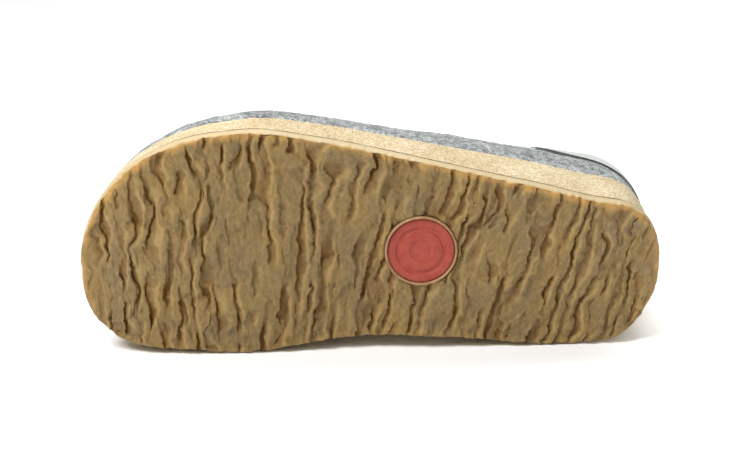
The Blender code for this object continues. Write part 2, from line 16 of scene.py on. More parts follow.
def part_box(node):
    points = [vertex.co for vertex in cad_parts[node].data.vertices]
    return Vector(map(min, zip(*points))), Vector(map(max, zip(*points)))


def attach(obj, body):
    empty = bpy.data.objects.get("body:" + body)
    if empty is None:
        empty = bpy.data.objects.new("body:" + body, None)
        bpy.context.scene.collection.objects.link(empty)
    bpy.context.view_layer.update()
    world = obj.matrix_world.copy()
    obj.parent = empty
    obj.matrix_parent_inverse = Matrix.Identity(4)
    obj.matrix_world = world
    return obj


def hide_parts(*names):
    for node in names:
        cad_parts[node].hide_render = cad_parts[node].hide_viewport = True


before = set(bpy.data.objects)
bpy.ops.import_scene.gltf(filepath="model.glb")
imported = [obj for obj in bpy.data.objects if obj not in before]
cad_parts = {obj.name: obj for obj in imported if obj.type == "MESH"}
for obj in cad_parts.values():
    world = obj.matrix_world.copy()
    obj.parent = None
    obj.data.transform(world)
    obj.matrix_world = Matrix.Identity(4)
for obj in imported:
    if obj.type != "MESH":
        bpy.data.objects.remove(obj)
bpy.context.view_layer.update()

# %% [markdown]
# ## The shoe's own frame
# The slipper lies on its inner side, so the world's axes are awkward for shoe work. A
# shoemaker thinks of length from the toe, of width toward the inner side, and of height from
# the tread. One matrix turns that frame into the lying pose: the CAD laid the shoe down with
# a small lean and turn, and the round badge shows where the frame sits in the world.

# %% Shoe frame
LENGTH = 0.270
LEAN = math.radians(-0.566)
TURN = math.radians(0.630)
BADGE_AT = 0.587
BADGE_ASIDE = 0.010
BADGE_MIDDLE = Vector((BADGE_AT * LENGTH, -BADGE_ASIDE, 0.0))
RING_DEPTH = 0.0030

# how the tread leaves the floor in a standing shoe: heights, and places as shares of the length
TOE_SPRING = 0.010
TOE_BREAK = 0.27
ARCH_RISE = 0.0025
ARCH_START = 0.34
ARCH_END = 0.62
HEEL_LIFT = 0.003
HEEL_BREAK = 0.86

lay_down = Matrix.Rotation(-0.5 * math.pi - LEAN, 4, "X") @ Matrix.Rotation(TURN, 4, "Z")
badge_low, badge_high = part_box("badge_ring")
badge_world = 0.5 * (badge_low + badge_high)


def arch_lift(share):
    """Height of the tread over a floor that the shoe stands on, at shares of its length."""
    toe = TOE_SPRING * np.clip(1.0 - share / TOE_BREAK, 0.0, None) ** 2
    heel = HEEL_LIFT * np.clip((share - HEEL_BREAK) / (1.0 - HEEL_BREAK), 0.0, None) ** 2
    under_arch = np.clip((share - ARCH_START) / (ARCH_END - ARCH_START), 0.0, 1.0)
    arch = ARCH_RISE * np.sin(math.pi * under_arch) ** 2
    return toe + arch + heel


badge_face = float(arch_lift(np.array([BADGE_AT]))[0])
local_badge = BADGE_MIDDLE + Vector((0.0, 0.0, badge_face + 0.5 * RING_DEPTH))
origin = badge_world - lay_down.to_3x3() @ local_badge
shoe = Matrix.Translation(origin) @ lay_down
unlay = shoe.inverted()
print("shoe frame starts at", [round(1000 * c, 2) for c in origin], "mm")


def to_shoe(points):
    """World points as rows of shoe coordinates."""
    matrix = np.array(unlay)
    return np.asarray(points) @ matrix[:3, :3].T + matrix[:3, 3]


def to_world(points):
    """Shoe coordinates as rows of world points."""
    matrix = np.array(shoe)
    return np.asarray(points) @ matrix[:3, :3].T + matrix[:3, 3]


def corners_of(piece):
    """Vertex places of a mesh object as rows."""
    flat = np.empty(3 * len(piece.data.vertices))
    piece.data.vertices.foreach_get("co", flat)
    return flat.reshape(-1, 3)


def place_corners(piece, rows):
    """Write rows of places back into a mesh object."""
    piece.data.vertices.foreach_set("co", np.ascontiguousarray(rows, dtype=float).ravel())
    piece.data.update()


sole_corners = to_shoe(corners_of(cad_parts["outsole"]))
print("lowest corner of the sole in the shoe's frame, mm:", (1000 * sole_corners.min(0)).round(1))
print("highest corner of the sole in the shoe's frame, mm:", (1000 * sole_corners.max(0)).round(1))

# %% [markdown]
# ## Camera, light and floor
# The photo looks at the tread from in front and a little above, and the camera is rolled by
# about one degree. A long lens keeps the sole's outline nearly free of perspective. The light
# is a soft studio: one lamp from the upper left draws the ridges of the bark, one from above
# and behind brightens the cork and the felt, and a weak one in front fills. The room is white
# where the camera sees it, but lights the slipper only weakly, so the cracks stay dark. The
# floor is white too, and a wash of light at its right takes most of the shadow away there.

# %% Camera
PHOTO_WIDTH = 750
FOCAL_PIXELS = 1527.0
ROLL = math.radians(-1.1)
camera_place = Vector((-0.01276, -0.71223, 0.28524))
look = Vector((0.02035, 0.94669, -0.3215)).normalized()
side = look.cross(Vector((0.0, 0.0, 1.0))).normalized()
above = side.cross(look)
side, above = (side * math.cos(ROLL) + above * math.sin(ROLL),
               above * math.cos(ROLL) - side * math.sin(ROLL))
camera_data = bpy.data.cameras.new("photo_camera")
camera = bpy.data.objects.new("photo_camera", camera_data)
bpy.context.scene.collection.objects.link(camera)
camera_data.lens = camera_data.sensor_width * FOCAL_PIXELS / PHOTO_WIDTH
camera_data.clip_start = 0.01
camera.matrix_world = Matrix((
    (side.x, above.x, -look.x, camera_place.x),
    (side.y, above.y, -look.y, camera_place.y),
    (side.z, above.z, -look.z, camera_place.z),
    (0.0, 0.0, 0.0, 1.0),
))
bpy.context.scene.camera = camera
print("lens in mm:", round(camera_data.lens, 1))

# %% Floor
def principled(name):
    """New material, its nodes, its links and its shader."""
    made = bpy.data.materials.new(name)
    made.use_nodes = True
    return made, made.node_tree.nodes, made.node_tree.links, made.node_tree.nodes["Principled BSDF"]


def reckoned(nodes, links, operation, *values):
    """Result of a Math node, whose values are each a socket or a plain number."""
    made = nodes.new("ShaderNodeMath")
    made.operation = operation
    for socket, value in zip(made.inputs, values):
        if isinstance(value, (int, float)):
            socket.default_value = value
        else:
            links.new(value, socket)
    return made.outputs[0]


def deselect():
    """Start each modelling step with nothing selected."""
    for item in bpy.context.selected_objects:
        item.select_set(False)


deselect()
bpy.ops.mesh.primitive_plane_add(size=6.0, location=(0.0, 0.0, 0.0))
floor = bpy.context.active_object
floor.name = "studio_floor"
floor_white, nodes, links, shader = principled("floor_white")
shader.inputs["Base Color"].default_value = (0.98, 0.98, 0.98, 1.0)
shader.inputs["Roughness"].default_value = 0.8
shader.inputs["Specular IOR Level"].default_value = 0.1
floor.data.materials.append(floor_white)
# the wash starts under the heel, at WASH_START along X, and is full at WASH_END
WASH_START = 0.090
WASH_END = 0.165
WASH_STRENGTH = 0.48
axes = nodes.new("ShaderNodeSeparateXYZ")
links.new(nodes.new("ShaderNodeTexCoord").outputs["Object"], axes.inputs["Vector"])
wash = nodes.new("ShaderNodeMapRange")
wash.interpolation_type = "SMOOTHSTEP"
wash.inputs["From Min"].default_value = WASH_START
wash.inputs["From Max"].default_value = WASH_END
wash.inputs["To Min"].default_value = 0.0
wash.inputs["To Max"].default_value = WASH_STRENGTH
links.new(axes.outputs["X"], wash.inputs["Value"])
shader.inputs["Emission Color"].default_value = (1.0, 1.0, 1.0, 1.0)
links.new(wash.outputs["Result"], shader.inputs["Emission Strength"])
print("wash on the floor from", WASH_START, "to", WASH_END, "m along X")

# %% Lamps
def soft_lamp(name, place, size, power):
    """White square area lamp that faces the middle of the slipper."""
    lamp = bpy.data.lights.new(name, "AREA")
    lamp.size = size
    lamp.energy = power
    holder = bpy.data.objects.new(name, lamp)
    bpy.context.scene.collection.objects.link(holder)
    holder.location = place
    direction = Vector((0.0, 0.0, 0.05)) - Vector(place)
    holder.rotation_euler = direction.to_track_quat("-Z", "Y").to_euler()


soft_lamp("key_upper_left", (-0.72, -0.46, 1.20), 0.55, 20.5)
soft_lamp("front_high", (0.2, -1.1, 1.3), 0.8, 2.5)
soft_lamp("top_back", (0.1, 0.6, 1.3), 0.9, 15.2)
print("lamps:", sorted(lamp.name for lamp in bpy.data.lights))

# %% White room
ROOM_LIGHT = 0.14
world = bpy.data.worlds.new("white_room")
bpy.context.scene.world = world
world.use_nodes = True
nodes = world.node_tree.nodes
links = world.node_tree.links
room = nodes["Background"]
room.inputs["Color"].default_value = (1.0, 1.0, 1.0, 1.0)
seen = nodes.new("ShaderNodeLightPath").outputs["Is Camera Ray"]
strength = reckoned(nodes, links, "MULTIPLY_ADD", seen, 1.0 - ROOM_LIGHT, ROOM_LIGHT)
links.new(strength, room.inputs["Strength"])
bpy.context.scene.view_settings.view_transform = "Standard"
print("light of the room on the slipper:", ROOM_LIGHT, "and where the camera sees it: 1.0")

# %% [markdown]
# ## Noise that can be repeated
# Natural surfaces need irregular numbers, but the scene must look the same on each run. A
# small table of fixed random numbers, read between its entries along a smooth curve, gives
# such noise. Its value lies between -1 and 1, and a step of 1 in x or y is one bump wide.
# Blender has noise of its own, one point at a call. Here NumPy works out all the corners of a
# mesh at once, and the same numbers can then move the corners and choose their colours.

# %% Smooth noise
CELLS = 128


def noise(x, y, seed):
    """Smooth, repeatable noise between -1 and 1 for arrays of places."""
    table = np.random.RandomState(seed).uniform(-1.0, 1.0, (CELLS, CELLS))
    column = np.floor(x).astype(int)
    row = np.floor(y).astype(int)
    u = x - column
    v = y - row
    u = u * u * (3.0 - 2.0 * u)
    v = v * v * (3.0 - 2.0 * v)
    left = column % CELLS
    right = (column + 1) % CELLS
    low = row % CELLS
    high = (row + 1) % CELLS
    near = table[left, low] * (1.0 - u) + table[right, low] * u
    far = table[left, high] * (1.0 - u) + table[right, high] * u
    return near * (1.0 - v) + far * v


def blend_step(value, low, high):
    """0 below low, 1 above high, smooth between."""
    t = np.clip((value - low) / (high - low), 0.0, 1.0)
    return t * t * (3.0 - 2.0 * t)


print("noise along one line:", noise(np.linspace(0.0, 2.0, 5), np.zeros(5), 1).round(2))

# %% [markdown]
# ## The outline of the sole
# The rubber sole is a thick plate whose border the CAD already has: the loop of corners round
# its flat upper side. The outline could be drawn again by hand, but then it would no longer
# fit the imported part. So that loop is read once, in the shoe's frame, made even and smooth
# with a Catmull-Rom curve, and then serves as the border for the new sole.

# %% Read the border from the CAD sole
EDGE_HEIGHT = 0.0085
SAME_HEIGHT = 0.00005
COARSE_POINTS = 200
BORDER_POINTS = 1600
above_tread = sole_corners[:, 2] - arch_lift(sole_corners[:, 0] / LENGTH)
on_top = np.abs(above_tread - EDGE_HEIGHT) < SAME_HEIGHT
loop = np.unique(sole_corners[on_top][:, :2].round(6), axis=0)
# the corners are put in order by their direction from a point in the middle of the sole
turning = np.arctan2(loop[:, 1] + BADGE_ASIDE, loop[:, 0] - 0.5 * LENGTH)
loop = loop[np.argsort(turning)]
print("corners in the border:", len(loop))


def even_loop(points, count):
    """Closed loop of points at even steps along a Catmull-Rom curve."""
    before = np.roll(points, 1, axis=0)
    after = np.roll(points, -1, axis=0)
    beyond = np.roll(points, -2, axis=0)
    fine = []
    for t in np.linspace(0.0, 1.0, 8, endpoint=False):
        bend = (2.0 * points + (after - before) * t
                + (2.0 * before - 5.0 * points + 4.0 * after - beyond) * t * t
                + (3.0 * points - before - 3.0 * after + beyond) * t ** 3)
        fine.append(0.5 * bend)
    fine = np.stack(fine, axis=1).reshape(-1, 2)
    closed = np.vstack([fine, fine[:1]])
    steps = np.linalg.norm(np.diff(closed, axis=0), axis=1)
    travel = np.concatenate([[0.0], np.cumsum(steps)])
    wanted = np.linspace(0.0, travel[-1], count, endpoint=False)
    return np.stack([np.interp(wanted, travel, closed[:, k]) for k in range(2)], axis=1)


def smoothed(values, reach):
    """Closed loop of values, averaged over neighbours on both sides."""
    total = np.zeros_like(values)
    for k in range(-reach, reach + 1):
        total += np.roll(values, k, axis=0)
    return total / (2 * reach + 1)


border = even_loop(smoothed(even_loop(loop, COARSE_POINTS), 1), BORDER_POINTS)
run = np.roll(border, -1, axis=0) - np.roll(border, 1, axis=0)
outward = np.stack([run[:, 1], -run[:, 0]], axis=1)
outward /= np.linalg.norm(outward, axis=1)[:, None]
outward = smoothed(outward, 6)
border_steps = np.linalg.norm(np.diff(border, axis=0), axis=1)
print("border length in mm:", round(1000 * border_steps.sum()))

# %% [markdown]
# ## Bark on the rubber
# The tread is moulded from bark: long plates run across the foot, slant a little under the
# heel, overlap like shingles, split and end in rounded tongues. The plates are counted along
# the foot: the whole part of the count tells which plate a place belongs to, and the rest
# tells how far it lies from that plate's left edge. There the ground drops into a gap that is
# open along parts of the plate only. Noise bends the count, so that edges get ragged and
# plates merge. The heights of the plates rise in steps, whose ends are round like tongues. All
# of it is in millimetres, as a depth under the plane of the tread. Sculpting could give such
# forms too, but a rule can be tuned again and again and always gives the same bark.

# %% Bark plates
PLATE_WIDTH = 6.6
GAP_DEPTH = 1.5
GAP_FLOOR = 0.58
STEP_DEPTH = 0.95
SHOULDER_DEPTH = 0.35
TOE_SLANT = 0.02
HEEL_SLANT = 0.27
DEEPEST = 3.2

# how noise bends the plates: size, width across and length along the plates in mm, and seed
BENDS = ((1.3, 30.0, 40.0, 1), (0.7, 11.0, 15.0, 2), (0.80, 4.2, 4.0, 3),
         (0.42, 2.0, 2.0, 4), (0.34, 1.2, 1.3, 6))


def plate_lines(x, y):
    """Place across (p) and along (q) the plates, bent by noise, for places in mm."""
    lean = TOE_SLANT + HEEL_SLANT * blend_step(x / (1000.0 * LENGTH), 0.30, 0.66)
    p = x + lean * y
    for size, width, length, seed in BENDS:
        p = p + size * noise(x / width, y / length, seed)
    q = y + 2.0 * noise(x / 9.0, y / 15.0, 5)
    return p, q


def bark(x, y):
    """Depth in mm, painted shade (0 to 1), painted highlight near a plate's left lip (0 to 1), and
    p and q.
    """
    p, q = plate_lines(x, y)
    count = p / PLATE_WIDTH + 0.45 * noise(p / 14.0, q / 34.0, 21)
    count = count + 0.36 * noise(p / 5.0, q / 10.0, 22)
    plate = np.floor(count)
    across = count - plate
    opened = blend_step(noise(plate * 7.3, q / 11.0, 23), -0.35, 0.10)
    cleft = 1.0 - blend_step(across, 0.04, 0.20)
    gap = GAP_FLOOR + (1.0 - GAP_FLOOR) * cleft
    gap = opened * gap * (1.0 - blend_step(across, 0.20, 0.48))
    shoulder = opened * blend_step(across, 0.86, 1.0) ** 2
    tongue_way = np.sign(noise(plate * 3.7 + 0.5, np.full(len(q), 0.5), 24))
    tongue = q + 7.0 * (2.0 * across - 1.0) ** 2 * tongue_way
    rise = noise(plate * 5.1, tongue / 15.0, 25) + 0.35 * noise(plate * 2.9, tongue / 7.0, 26)
    swell = 0.70 * noise(p / 5.9, q / 40.0, 7) + 0.60 * noise(p / 3.7 + 40.0, q / 18.0, 8)
    swell = swell + 0.22 * noise(p / 2.1, q / 5.5, 9) + 0.10 * noise(p / 1.2, q / 2.6, 10)
    height = 1.0 + 1.05 * rise + 0.90 * swell
    layer = np.floor(height)
    inside = height - layer
    stepped = np.clip(layer + blend_step(inside, 0.80, 1.0), 0.0, 2.2)
    fine = 0.30 * noise(p / 2.6, q / 4.2, 14) + 0.26 * noise(x / 1.3, y / 1.7, 15)
    depth = STEP_DEPTH * stepped + 0.16 * np.clip(height, 0.0, 2.6)
    depth = depth + GAP_DEPTH * gap + SHOULDER_DEPTH * shoulder + fine
    depth = np.clip(depth, 0.0, DEEPEST)
    # painted shade: darker where the bark is deep, in the open gaps, at the steps' risers and along
    # each gap's cliff
    painted_shade = 0.40 * blend_step(depth, 1.0, 2.6)
    painted_shade = painted_shade + 0.50 * opened * (1.0 - blend_step(across, 0.14, 0.44))
    painted_shade = painted_shade + 0.25 * blend_step(inside, 0.88, 1.0)
    painted_shade = painted_shade + 0.25 * opened * (1.0 - blend_step(across, 0.0, 0.12))
    # painted highlight on each plate's left lip, just past its gap
    lip_highlight = opened * blend_step(across, 0.34, 0.46) * (1.0 - blend_step(across, 0.50, 0.68))
    return depth, np.clip(painted_shade, 0.0, 1.0), lip_highlight, p, q


sample = bark(np.linspace(20.0, 250.0, 400), np.full(400, 5.0))[0]
print("bark on one line along the sole, mean depth in mm:", round(sample.mean(), 2))

# %% [markdown]
# ## The rubber sole
# The CAD sole has too few corners for fine relief, and dividing its long triangles would give
# uneven ones. So the sole starts as a flat grid. Its corners are moved so that the grid fills
# the outline up to the rim, then the rim and the side wall are extruded from its border, ring
# after ring, and a last face closes the top under the cork. Grooves fade toward the rim,
# because the mould rounds them off there, and small notches make the rim's edge ragged. The
# wall's top draws in a little, where a line of glue shows under the cork.

# %% Grid inside the rim
RIM = 0.0030
ALONG = 620
ACROSS = 112
TIP_MARGIN = 0.0002
END_CROWDING = 0.35
inset = border - outward * RIM
deselect()
bpy.ops.mesh.primitive_grid_add(x_subdivisions=ALONG, y_subdivisions=ACROSS, size=1.0)
sole = bpy.context.active_object
sole.name = "bark_sole"
flat = corners_of(sole)
u = flat[:, 0] + 0.5
v = flat[:, 1] + 0.5
first = inset[:, 0].min() + TIP_MARGIN
last = inset[:, 0].max() - TIP_MARGIN
# rows stand closer together toward the toe and the heel, where the outline turns
eased = u - 0.9 * np.sin(2.0 * math.pi * u) / (2.0 * math.pi)
mixed = END_CROWDING * eased + (1.0 - END_CROWDING) * u
station = first + (last - first) * mixed
tip_low = int(np.argmin(inset[:, 0]))
tip_high = int(np.argmax(inset[:, 0]))
rolled = np.roll(inset, -tip_low, axis=0)
turn_at = (tip_high - tip_low) % BORDER_POINTS
one_side = rolled[:turn_at + 1]
other_side = np.vstack([rolled[turn_at:], rolled[:1]])[::-1]
if one_side[:, 1].mean() > other_side[:, 1].mean():
    one_side, other_side = other_side, one_side
lateral = np.interp(station, one_side[:, 0], one_side[:, 1])
medial = np.interp(station, other_side[:, 0], other_side[:, 1])
level = np.stack([station, lateral + (medial - lateral) * v, np.zeros(len(u))], axis=1)
place_corners(sole, level)
print("grid corners:", len(u))

# %% Rings for the rim and the side wall
# each ring: how far outside the outline in mm, and how high over the tread in mm
RIM_RINGS = ((-2.3, 0.0), (-1.6, 0.0), (-1.05, 0.06), (-0.6, 0.22), (-0.25, 0.55), (0.0, 1.1),
             (0.2, 2.2), (0.45, 4.0), (0.5, 5.4), (0.4, 6.4), (0.22, 6.85), (0.12, 8.5))
NOTCH = 0.75
SMOOTH_FROM = 1.2
SMOOTH_ABOVE = 4.0


def along_border(points, offset):
    """Place of each point along the border, as a number of steps, from the ring it lies on."""
    ring = border + outward * offset
    found = np.empty(len(points))
    for k, point in enumerate(points):
        away = ((ring - point) ** 2).sum(axis=1)
        near = int(np.argmin(away))
        after = ring[(near + 1) % BORDER_POINTS] - ring[near]
        before = ring[near] - ring[near - 1]
        ahead = np.dot(point - ring[near], after) / np.dot(after, after)
        behind = np.dot(point - ring[near], before) / np.dot(before, before)
        found[k] = near + (ahead if ahead > 0.0 else min(behind, 0.0))
    return found


def on_ring(steps, offset):
    """Places on a ring outside the border, from numbers of steps along it."""
    ring = border + outward * offset
    low = np.floor(steps).astype(int)
    t = (steps - low)[:, None]
    return ring[low % BORDER_POINTS] * (1.0 - t) + ring[(low + 1) % BORDER_POINTS] * t


def notches(steps):
    """How far in mm the ragged rim lies inside the outline; the noise closes after one round."""
    row = np.zeros(len(steps))
    wide = noise(CELLS * steps / BORDER_POINTS, row, 19)
    narrow = noise(3.0 * CELLS * steps / BORDER_POINTS, row, 20)
    return NOTCH * np.clip(0.5 + 0.55 * wide + 0.40 * narrow, 0.0, 1.0)


print("mean depth of the notches in mm:", round(notches(np.arange(float(BORDER_POINTS))).mean(), 2))

# %% Rim and side wall, one extrusion after another
deselect()
sole.select_set(True)
bpy.context.view_layer.objects.active = sole
bpy.ops.object.mode_set(mode="EDIT")
bpy.ops.mesh.select_mode(type="EDGE")
bpy.ops.mesh.select_all(action="DESELECT")
bpy.ops.mesh.select_non_manifold(extend=False)
bpy.ops.object.mode_set(mode="OBJECT")
rim_height = np.zeros(len(level))
current_offset = -RIM
steps_along = None
for offset, height in RIM_RINGS:
    bpy.ops.object.mode_set(mode="EDIT")
    bpy.ops.mesh.extrude_region_move()
    bpy.ops.object.mode_set(mode="OBJECT")
    places = corners_of(sole)
    chosen = np.zeros(len(places), dtype=bool)
    sole.data.vertices.foreach_get("select", chosen)
    if steps_along is None:
        steps_along = along_border(places[chosen][:, :2], current_offset)
    ring_places = on_ring(steps_along, 0.001 * offset)
    inward = on_ring(steps_along, 0.0) - on_ring(steps_along, 0.001)
    ragged = 1.0 - blend_step(height, SMOOTH_FROM, SMOOTH_ABOVE)
    places[chosen, :2] = ring_places + inward * (ragged * notches(steps_along))[:, None]
    place_corners(sole, places)
    grown = np.full(len(places), 0.001 * height)
    grown[:len(rim_height)] = rim_height
    rim_height = grown
bpy.ops.object.mode_set(mode="EDIT")
bpy.ops.mesh.edge_face_add()
bpy.ops.object.mode_set(mode="OBJECT")
print("corners with rim and wall:", len(sole.data.vertices))

# %% Press the bark into the sole
RIM_SHARE = 0.50
END_SHARE = 0.15
RIM_BUMP = 0.00022
TREAD_TOP = 0.0009
GLOW_TOP = 0.0030
CHUNK = 4000
places = corners_of(sole)
x_mm = 1000.0 * places[:, 0]
y_mm = 1000.0 * places[:, 1]
depth, painted_shade, lip_highlight, p_mm, q_mm = bark(x_mm, y_mm)
from_rim = np.empty(len(places))
coarse_border = border[::2]
for start in range(0, len(places), CHUNK):
    part = slice(start, start + CHUNK)
    away = ((places[part, None, :2] - coarse_border[None, :, :]) ** 2).sum(axis=2)
    from_rim[part] = 1000.0 * np.sqrt(away.min(axis=1))
on_wall = rim_height > TREAD_TOP
fade = (RIM_SHARE + (1.0 - RIM_SHARE) * blend_step(from_rim, 0.2, 2.4)) * (1.0 - on_wall)
# the toe and the heel end in a smoother band with a wavy border
middle_line = np.zeros(len(places))
behind_toe = blend_step(x_mm + 3.0 * noise(y_mm / 14.0, middle_line, 12), 5.0, 13.0)
at_heel = blend_step(x_mm + 2.0 * noise(y_mm / 11.0, middle_line, 13), 258.0, 266.0)
fade = fade * (END_SHARE + (1.0 - END_SHARE) * behind_toe * (1.0 - at_heel))
depth = depth * fade
places[:, 2] = arch_lift(places[:, 0] / LENGTH) + rim_height + 0.001 * depth
below_wall = rim_height < GLOW_TOP
near_rim = (1.0 - blend_step(from_rim, 1.0, 4.0)) * below_wall
places[:, 2] += RIM_BUMP * near_rim * noise(p_mm / 2.4, q_mm / 2.4, 17)
place_corners(sole, to_world(places))
sole.data.validate()
print("deepest crack in mm:", round(float(depth.max()), 2))

# %% Keep numbers for the rubber's colours and its painted light
# the inner side lies on the floor, where little light gets into the rim, so the painted glow is
# weaker there
FLOOR_SIDE_LOSS = 0.75
patchy = 0.75 + 0.25 * noise(p_mm / 6.0, q_mm / 5.0, 16)
rim_width = from_rim + 1.3 * noise(p_mm / 3.5, q_mm / 3.5, 18)
# painted glow: amber light through the thin rim, patchy, and weaker in the painted shade
painted_rim_glow = (1.0 - blend_step(rim_width, 1.0, 4.0)) * below_wall
painted_rim_glow = painted_rim_glow * patchy * (1.0 - 0.8 * painted_shade)
painted_rim_glow = painted_rim_glow * (1.0 - FLOOR_SIDE_LOSS * blend_step(y_mm, 5.0, 30.0))
# painted light: the side wall is painted paler, as light from above falls on it and into it
painted_wall_light = blend_step(1000.0 * rim_height, 0.5, 1.8)
seam = blend_step(1000.0 * rim_height, 6.5, 6.84)
print("share of the corners on the wall:", round(float(on_wall.mean()), 3))


def keep(piece, name, values):
    """Store one number per corner, for the material."""
    layer = piece.data.attributes.new(name, "FLOAT", "POINT")
    layer.data.foreach_set("value", np.ascontiguousarray(values, dtype=np.float32))


# painted shade, painted lip highlight, painted rim glow and painted wall light go to the material,
# with the glue line
keep(sole, "painted_shade", painted_shade * fade)
keep(sole, "lip_highlight", lip_highlight * fade)
keep(sole, "rim", painted_rim_glow)
keep(sole, "wall", painted_wall_light)
keep(sole, "seam", seam)

# %% Lay the plates' lines on the sole as a UV map, and hand the sole over
bark_map = sole.data.uv_layers.new(name="bark_lines")
corner_index = np.empty(len(sole.data.loops), dtype=int)
sole.data.loops.foreach_get("vertex_index", corner_index)
lines = np.stack([p_mm, q_mm], axis=1)[corner_index] / 10.0
bark_map.data.foreach_set("uv", lines.ravel())
deselect()
sole.select_set(True)
bpy.context.view_layer.objects.active = sole
bpy.ops.object.mode_set(mode="EDIT")
bpy.ops.mesh.select_all(action="SELECT")
bpy.ops.mesh.normals_make_consistent(inside=False)
bpy.ops.object.mode_set(mode="OBJECT")
bpy.ops.object.shade_smooth_by_angle(angle=math.radians(55.0))
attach(sole, "root")
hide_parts("outsole")
print("sole faces:", len(sole.data.polygons))

# %% [markdown]
# ## Honey-brown rubber
# Crepe rubber is cloudy and lets a little light in, so thin edges glow amber and the cracks
# look dark brown. Here both are painted: a painted amber glow on the rim, painted shade in the
# cracks, and a painted highlight on the plates' lips. The numbers kept on the sole say where
# those places are, where the side wall is painted paler as if lit from above, and where the
# broken line of glue is. Subsurface scattering could make the edges glow too, but it takes
# longer to render and knows nothing of plates. Fine streaks follow the plates, as the moulded
# bark does, and small pores break up the gloss.

# %% Helpers for materials
def ramp(nodes, stops):
    """Colour ramp from a list of position and colour pairs."""
    made = nodes.new("ShaderNodeValToRGB")
    band = made.color_ramp
    while len(band.elements) < len(stops):
        band.elements.new(0.5)
    for element, (position, colour) in zip(band.elements, stops):
        element.position = position
        element.color = (*colour, 1.0)
    return made


def from_screen(red, green, blue):
    """Linear colour from the 0 to 255 numbers of a screen."""
    return tuple((c / 255.0 / 12.92) if c <= 10 else ((c / 255.0 + 0.055) / 1.055) ** 2.4
                 for c in (red, green, blue))


def mixed_colour(nodes, links, factor, first, second, kind="MIX"):
    """Mix two colours, each a socket or a plain colour."""
    made = nodes.new("ShaderNodeMix")
    made.data_type = "RGBA"
    made.blend_type = kind
    made.clamp_factor = True
    # a colour Mix node has its factor at socket 0 and its two colours at 6 and 7
    for index, value in ((0, factor), (6, first), (7, second)):
        if isinstance(value, (int, float)):
            made.inputs[index].default_value = value
        elif isinstance(value, tuple):
            made.inputs[index].default_value = (*value, 1.0)
        else:
            links.new(value, made.inputs[index])
    return made.outputs[2]


def stored(nodes, name):
    """Socket with the number that a piece keeps under a name."""
    made = nodes.new("ShaderNodeAttribute")
    made.attribute_name = name
    return made.outputs["Fac"]


def textured(nodes, links, kind, vector, scale, **settings):
    """Texture node on a vector, with its scale and further settings."""
    made = nodes.new(kind)
    links.new(vector, made.inputs["Vector"])
    made.inputs["Scale"].default_value = scale
    for name, value in settings.items():
        made.inputs[name].default_value = value
    return made


def stretched(nodes, links, vector, scale):
    """Vector scaled apart along its axes."""
    made = nodes.new("ShaderNodeMapping")
    made.inputs["Scale"].default_value = scale
    links.new(vector, made.inputs["Vector"])
    return made.outputs["Vector"]


def bumped(nodes, links, height, distance, strength, under=None):
    """Bump from a height socket, on top of another bump."""
    made = nodes.new("ShaderNodeBump")
    made.inputs["Strength"].default_value = strength
    made.inputs["Distance"].default_value = distance
    links.new(height, made.inputs["Height"])
    if under is not None:
        links.new(under, made.inputs["Normal"])
    return made.outputs["Normal"]


print("a middle grey of the screen is", round(from_screen(128, 128, 128)[0], 3), "in linear light")

# %% Rubber material
rubber, nodes, links, shader = principled("honey_rubber")
uv = nodes.new("ShaderNodeUVMap")
uv.uv_map = "bark_lines"
place = nodes.new("ShaderNodeTexCoord").outputs["Object"]
streaks = textured(nodes, links, "ShaderNodeTexNoise",
                   stretched(nodes, links, uv.outputs["UV"], (5.0, 2.6, 1.0)), 1.0,
                   Detail=5.0, Roughness=0.65)
clouds = textured(nodes, links, "ShaderNodeTexNoise", place, 60.0, Detail=4.0, Roughness=0.6)
pores = textured(nodes, links, "ShaderNodeTexNoise", place, 900.0, Detail=3.0, Roughness=0.7)
top = ramp(nodes, ((0.32, from_screen(126, 103, 60)), (0.50, from_screen(142, 117, 71)),
                   (0.68, from_screen(157, 132, 84))))
links.new(streaks.outputs["Fac"], top.inputs["Fac"])
cloud_tone = ramp(nodes, ((0.38, from_screen(234, 235, 252)), (0.62, from_screen(255, 250, 226))))
links.new(clouds.outputs["Fac"], cloud_tone.inputs["Fac"])
toned = mixed_colour(nodes, links, 0.8, top.outputs["Color"], cloud_tone.outputs["Color"],
                     "MULTIPLY")
crumbs = ramp(nodes, ((0.36, (0.72, 0.70, 0.66)), (0.50, (1.0, 1.0, 1.0))))
links.new(pores.outputs["Fac"], crumbs.inputs["Fac"])
toned = mixed_colour(nodes, links, 0.6, toned, crumbs.outputs["Color"], "MULTIPLY")
# painted highlight along the plates' left lips
highlight_share = reckoned(nodes, links, "MULTIPLY", stored(nodes, "lip_highlight"), 0.50)
highlighted = mixed_colour(nodes, links, highlight_share, toned, from_screen(186, 155, 92))
# painted shade: the cracks, gaps and deep places darken to dark brown
dark = mixed_colour(nodes, links, stored(nodes, "painted_shade"), highlighted, from_screen(116, 78, 22))
# painted glow of light through the rim, in amber
glow = reckoned(nodes, links, "MULTIPLY", stored(nodes, "rim"), 0.75)
amber = mixed_colour(nodes, links, glow, dark, from_screen(202, 153, 78))
